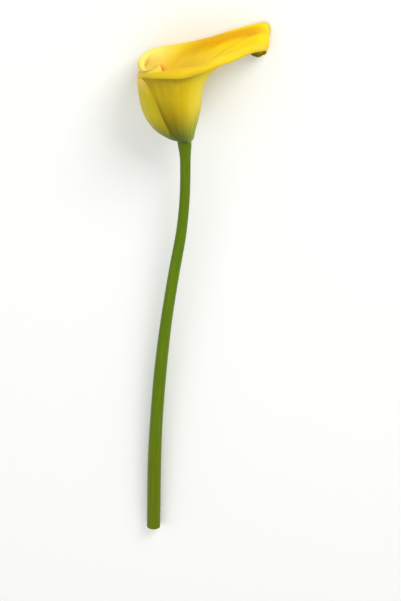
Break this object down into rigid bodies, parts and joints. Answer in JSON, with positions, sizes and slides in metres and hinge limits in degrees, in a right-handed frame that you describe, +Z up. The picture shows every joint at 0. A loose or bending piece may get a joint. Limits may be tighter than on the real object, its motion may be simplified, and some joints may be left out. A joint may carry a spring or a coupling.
{
  "type": "arum lily flower",
  "caption": "Yellow arum lily flower on its cut green stem, lying on its side: a rolled funnel-shaped spathe with a long lip that curls under at its end, round a finger-like spadix.",
  "frame": {"origin": "middle of the bounding box on the table under the lying flower", "axes": "+Y from the cut end of the stem towards the flower's mouth, +Z up from the table, the long lip of the spathe towards +X"},
  "size_m": [0.0648, 0.2854, 0.0431],
  "materials": {
    "spathe": "satin, fleshy and smooth with fine lengthwise veins, greener towards the stem and the tip",
    "spadix": "matt, finely knobbed",
    "stem": "satin, smooth with faint lengthwise lines"
  },
  "bodies": {
    "root": {"spathe": "spathe", "spadix": "spadix", "stem": "stem"}
  },
  "joints": []
}
